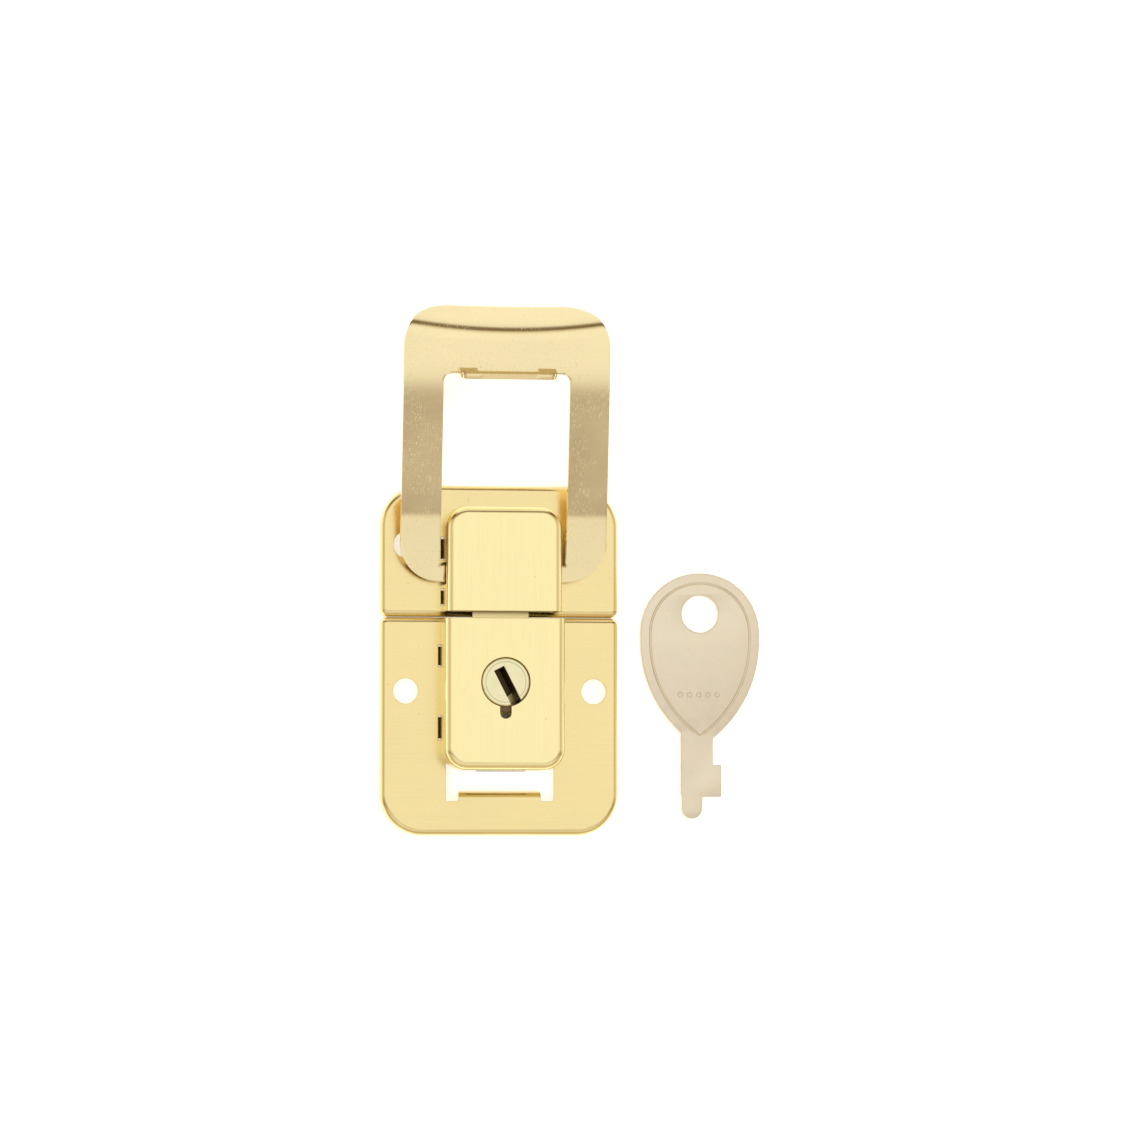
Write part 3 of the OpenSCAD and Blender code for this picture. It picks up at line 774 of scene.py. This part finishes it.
# %% Key blank
def closed_curve(name, outlines):
    """A flat curve of closed straight-sided outlines, each a list of points in millimetres."""
    curve = bpy.data.curves.new(name, "CURVE")
    curve.dimensions = "2D"
    curve.fill_mode = "BOTH"
    for points in outlines:
        line = curve.splines.new("POLY")
        line.points.add(len(points) - 1)
        line.use_cyclic_u = True
        for point, (x, y) in zip(line.points, points):
            point.co = (x * MM, y * MM, 0, 1)
    return curve


key_curve = closed_curve("key_blank", [outline, ring_hole])
key_curve.extrude = (KEY_THICK / 2 - STAMPED_EDGE) * MM
key_curve.bevel_depth = STAMPED_EDGE * MM
key_curve.bevel_resolution = 2
key_curve.offset = -STAMPED_EDGE * MM
drawn = new_object("key_drawn", key_curve)
graph = bpy.context.evaluated_depsgraph_get()
key_mesh = bpy.data.meshes.new_from_object(drawn.evaluated_get(graph))
bpy.data.objects.remove(drawn)
key_mesh.transform(Matrix.Translation(Vector((BOW_X, BOW_Y, KEY_THICK / 2)) * MM))
shape = bmesh.new()
shape.from_mesh(key_mesh)
bmesh.ops.remove_doubles(shape, verts=shape.verts, dist=MERGE_WITHIN)
bmesh.ops.recalc_face_normals(shape, faces=shape.faces)
shape.to_mesh(key_mesh)
shape.free()
key_mesh.shade_smooth()
key_mesh.set_sharp_from_angle(angle=SHARP)
key = new_object("key_blank", key_mesh)
hand_over(key, "key", "nickel", "key")

# %% [markdown]
# ### What follows a path: the pressed bead
# A fine raised bead runs round the bow. It is the same short profile all along a closed path, which is work
# for Geometry Nodes: the tree takes the path, sweeps a round profile along it and gives it the key's metal.
# The bead is partly sunk in the face, so it reads as one piece of metal.

# %% Node tree helpers
def start_tree(name, sizes):
    """A Geometry Nodes tree with a geometry input, these named sizes, and a metal."""
    tree = bpy.data.node_groups.new(name, "GeometryNodeTree")
    tree.interface.new_socket("Geometry", in_out="INPUT", socket_type="NodeSocketGeometry")
    for title, value in sizes.items():
        kind = "NodeSocketInt" if isinstance(value, int) else "NodeSocketFloat"
        tree.interface.new_socket(title, in_out="INPUT", socket_type=kind).default_value = value
    tree.interface.new_socket("Metal", in_out="INPUT", socket_type="NodeSocketMaterial")
    tree.interface.new_socket("Geometry", in_out="OUTPUT", socket_type="NodeSocketGeometry")
    return tree, tree.nodes.new("NodeGroupInput"), tree.nodes.new("NodeGroupOutput")


def end_tree(tree, given, result, shape):
    """Close a tree: smooth, make real, and set the metal."""
    smooth = tree.nodes.new("GeometryNodeSetShadeSmooth")
    real = tree.nodes.new("GeometryNodeRealizeInstances")
    metal = tree.nodes.new("GeometryNodeSetMaterial")
    tree.links.new(shape, smooth.inputs["Geometry"])
    tree.links.new(smooth.outputs[0], real.inputs[0])
    tree.links.new(real.outputs[0], metal.inputs["Geometry"])
    tree.links.new(given.outputs["Metal"], metal.inputs["Material"])
    tree.links.new(metal.outputs[0], result.inputs[0])


def run_tree(piece, tree, sizes, slot):
    """Run the tree on the piece with these sizes and keep the plain mesh."""
    work = piece.modifiers.new("work", "NODES")
    work.node_group = tree
    for item in tree.interface.items_tree:
        if item.in_out == "INPUT" and item.name in sizes:
            work[item.identifier] = sizes[item.name]
        if item.in_out == "INPUT" and item.name == "Metal":
            work[item.identifier] = METALS[slot]
    graph = bpy.context.evaluated_depsgraph_get()
    plain = bpy.data.meshes.new_from_object(piece.evaluated_get(graph))
    name = piece.name
    bpy.data.objects.remove(piece)
    return new_object(name, plain)


# %% Bead round the bow
bead_tree, given, result = start_tree("bead", {"Bead radius": 0.14 * MM, "Sides": 10})
profile = bead_tree.nodes.new("GeometryNodeCurvePrimitiveCircle")
sweep = bead_tree.nodes.new("GeometryNodeCurveToMesh")
bead_tree.links.new(given.outputs["Bead radius"], profile.inputs["Radius"])
bead_tree.links.new(given.outputs["Sides"], profile.inputs["Resolution"])
bead_tree.links.new(given.outputs["Geometry"], sweep.inputs["Curve"])
bead_tree.links.new(profile.outputs[0], sweep.inputs["Profile Curve"])
end_tree(bead_tree, given, result, sweep.outputs[0])

BEAD_INSET = 1.6
BEAD_R = 0.22
BEAD_SUNK = 0.07
bead_path = closed_curve("key_bead", [bow_line(BEAD_INSET, 0.0, 0.0)])
bead_path.fill_mode = "NONE"
bead = run_tree(new_object("key_bead", bead_path), bead_tree, {"Bead radius": BEAD_R * MM}, "nickel")
bead.data.transform(Matrix.Translation(Vector((BOW_X, BOW_Y, KEY_THICK - BEAD_SUNK)) * MM))
hand_over(bead, "key", "nickel")

# %% [markdown]
# ### What repeats: punch marks and rivets
# A row of plain punch marks stands where such keys carry a number. Each is the small ring that a punch throws
# up. The rivets that guide the bolt and hold the hinge leaf are two of each: a tail spread flat behind the
# plate, a shank, and a domed head. One tree makes a ring, another a rivet, and each sets copies on the points
# it is given.

# %% Punch marks
ring_tree, given, result = start_tree("punch_ring", {"Ring radius": 0.3 * MM, "Lip radius": 0.06 * MM})
ring_path = ring_tree.nodes.new("GeometryNodeCurvePrimitiveCircle")
ring_path.inputs["Resolution"].default_value = 20
lip = ring_tree.nodes.new("GeometryNodeCurvePrimitiveCircle")
lip.inputs["Resolution"].default_value = 8
sweep = ring_tree.nodes.new("GeometryNodeCurveToMesh")
copies = ring_tree.nodes.new("GeometryNodeInstanceOnPoints")
ring_tree.links.new(given.outputs["Ring radius"], ring_path.inputs["Radius"])
ring_tree.links.new(given.outputs["Lip radius"], lip.inputs["Radius"])
ring_tree.links.new(ring_path.outputs[0], sweep.inputs["Curve"])
ring_tree.links.new(lip.outputs[0], sweep.inputs["Profile Curve"])
ring_tree.links.new(given.outputs["Geometry"], copies.inputs["Points"])
ring_tree.links.new(sweep.outputs[0], copies.inputs["Instance"])
end_tree(ring_tree, given, result, copies.outputs[0])


def points_object(name, points):
    """An object of loose points, given in millimetres."""
    mesh = bpy.data.meshes.new(name)
    mesh.from_pydata([Vector(p) * MM for p in points], [], [])
    return new_object(name, mesh)


MARK_PITCH = 1.5
ROW_LEFT, ROW_DOWN = 0.2, 8.6         # from the middle of the bow to the middle of the row
MARK_SUNK = 0.01
row = [(BOW_X - ROW_LEFT + MARK_PITCH * i, BOW_Y - ROW_DOWN, KEY_THICK - MARK_SUNK) for i in (-2, -1, 0, 1, 2)]
marks = run_tree(
    points_object("key_marks", row), ring_tree, {"Ring radius": 0.36 * MM, "Lip radius": 0.1 * MM}, "nickel",
)
hand_over(marks, "key", "nickel")


# %% Rivets
def tree_cylinder(tree, radius, low, high):
    """A cylinder between two heights, each a socket."""
    body = tree.nodes.new("GeometryNodeMeshCylinder")
    body.inputs["Vertices"].default_value = 32
    tree.links.new(radius, body.inputs["Radius"])
    tree.links.new(maths(tree, "SUBTRACT", high, low), body.inputs["Depth"])
    lift = tree.nodes.new("ShaderNodeCombineXYZ")
    tree.links.new(maths(tree, "MULTIPLY", maths(tree, "ADD", high, low), 0.5), lift.inputs["Z"])
    moved = tree.nodes.new("GeometryNodeTransform")
    tree.links.new(body.outputs["Mesh"], moved.inputs["Geometry"])
    tree.links.new(lift.outputs[0], moved.inputs["Translation"])
    return moved.outputs[0]


def tree_dome(tree, radius, flatness, at, kept):
    """Half a flattened ball, as a rivet's head: MAXIMUM keeps its upper half, and MINIMUM its lower half."""
    ball = tree.nodes.new("GeometryNodeMeshUVSphere")
    ball.inputs["Segments"].default_value = 32
    ball.inputs["Rings"].default_value = 16
    tree.links.new(radius, ball.inputs["Radius"])
    was = tree.nodes.new("ShaderNodeSeparateXYZ")
    tree.links.new(tree.nodes.new("GeometryNodeInputPosition").outputs[0], was.inputs[0])
    height = maths(tree, "MULTIPLY", maths(tree, kept, was.outputs["Z"], 0), flatness)
    place = tree.nodes.new("ShaderNodeCombineXYZ")
    tree.links.new(was.outputs["X"], place.inputs["X"])
    tree.links.new(was.outputs["Y"], place.inputs["Y"])
    tree.links.new(maths(tree, "ADD", height, at), place.inputs["Z"])
    moved = tree.nodes.new("GeometryNodeSetPosition")
    tree.links.new(ball.outputs["Mesh"], moved.inputs["Geometry"])
    tree.links.new(place.outputs[0], moved.inputs["Position"])
    return moved.outputs[0]


rivet_tree, given, result = start_tree("rivet", {
    "Head radius": 1.3 * MM, "Shank radius": 0.8 * MM, "Tail height": 1.0 * MM, "Head seat": 3.1 * MM,
    "Tail flatness": 0.3, "Head flatness": 0.45,
})
parts = rivet_tree.nodes.new("GeometryNodeJoinGeometry")
size = given.outputs
for part in (
    tree_dome(rivet_tree, size["Head radius"], size["Tail flatness"], size["Tail height"], "MINIMUM"),
    tree_cylinder(rivet_tree, size["Shank radius"], size["Tail height"], size["Head seat"]),
    tree_dome(rivet_tree, size["Head radius"], size["Head flatness"], size["Head seat"], "MAXIMUM"),
):
    rivet_tree.links.new(part, parts.inputs[0])
copies = rivet_tree.nodes.new("GeometryNodeInstanceOnPoints")
rivet_tree.links.new(given.outputs["Geometry"], copies.inputs["Points"])
rivet_tree.links.new(parts.outputs[0], copies.inputs["Instance"])
end_tree(rivet_tree, given, result, copies.outputs[0])

HEAD_R, HEAD_T, TAIL_T = 1.3, 0.6, 0.4
for node, body in (("bolt_rivets", "lock_half"), ("hinge_rivets", "lid_half")):
    low, high = (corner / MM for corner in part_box(node))
    middle_y = (low[1] + high[1]) / 2
    spots = [(low[0] + HEAD_R, middle_y, 0), (high[0] - HEAD_R, middle_y, 0)]
    pair = run_tree(points_object(node + "_headed", spots), rivet_tree, {
        "Tail height": (low[2] + TAIL_T) * MM, "Head seat": (high[2] - HEAD_T) * MM,
        "Tail flatness": TAIL_T / HEAD_R, "Head flatness": HEAD_T / HEAD_R,
    }, slot_of[node])
    pair.data.set_sharp_from_angle(angle=SHARP)
    hand_over(pair, body, slot_of[node], node)
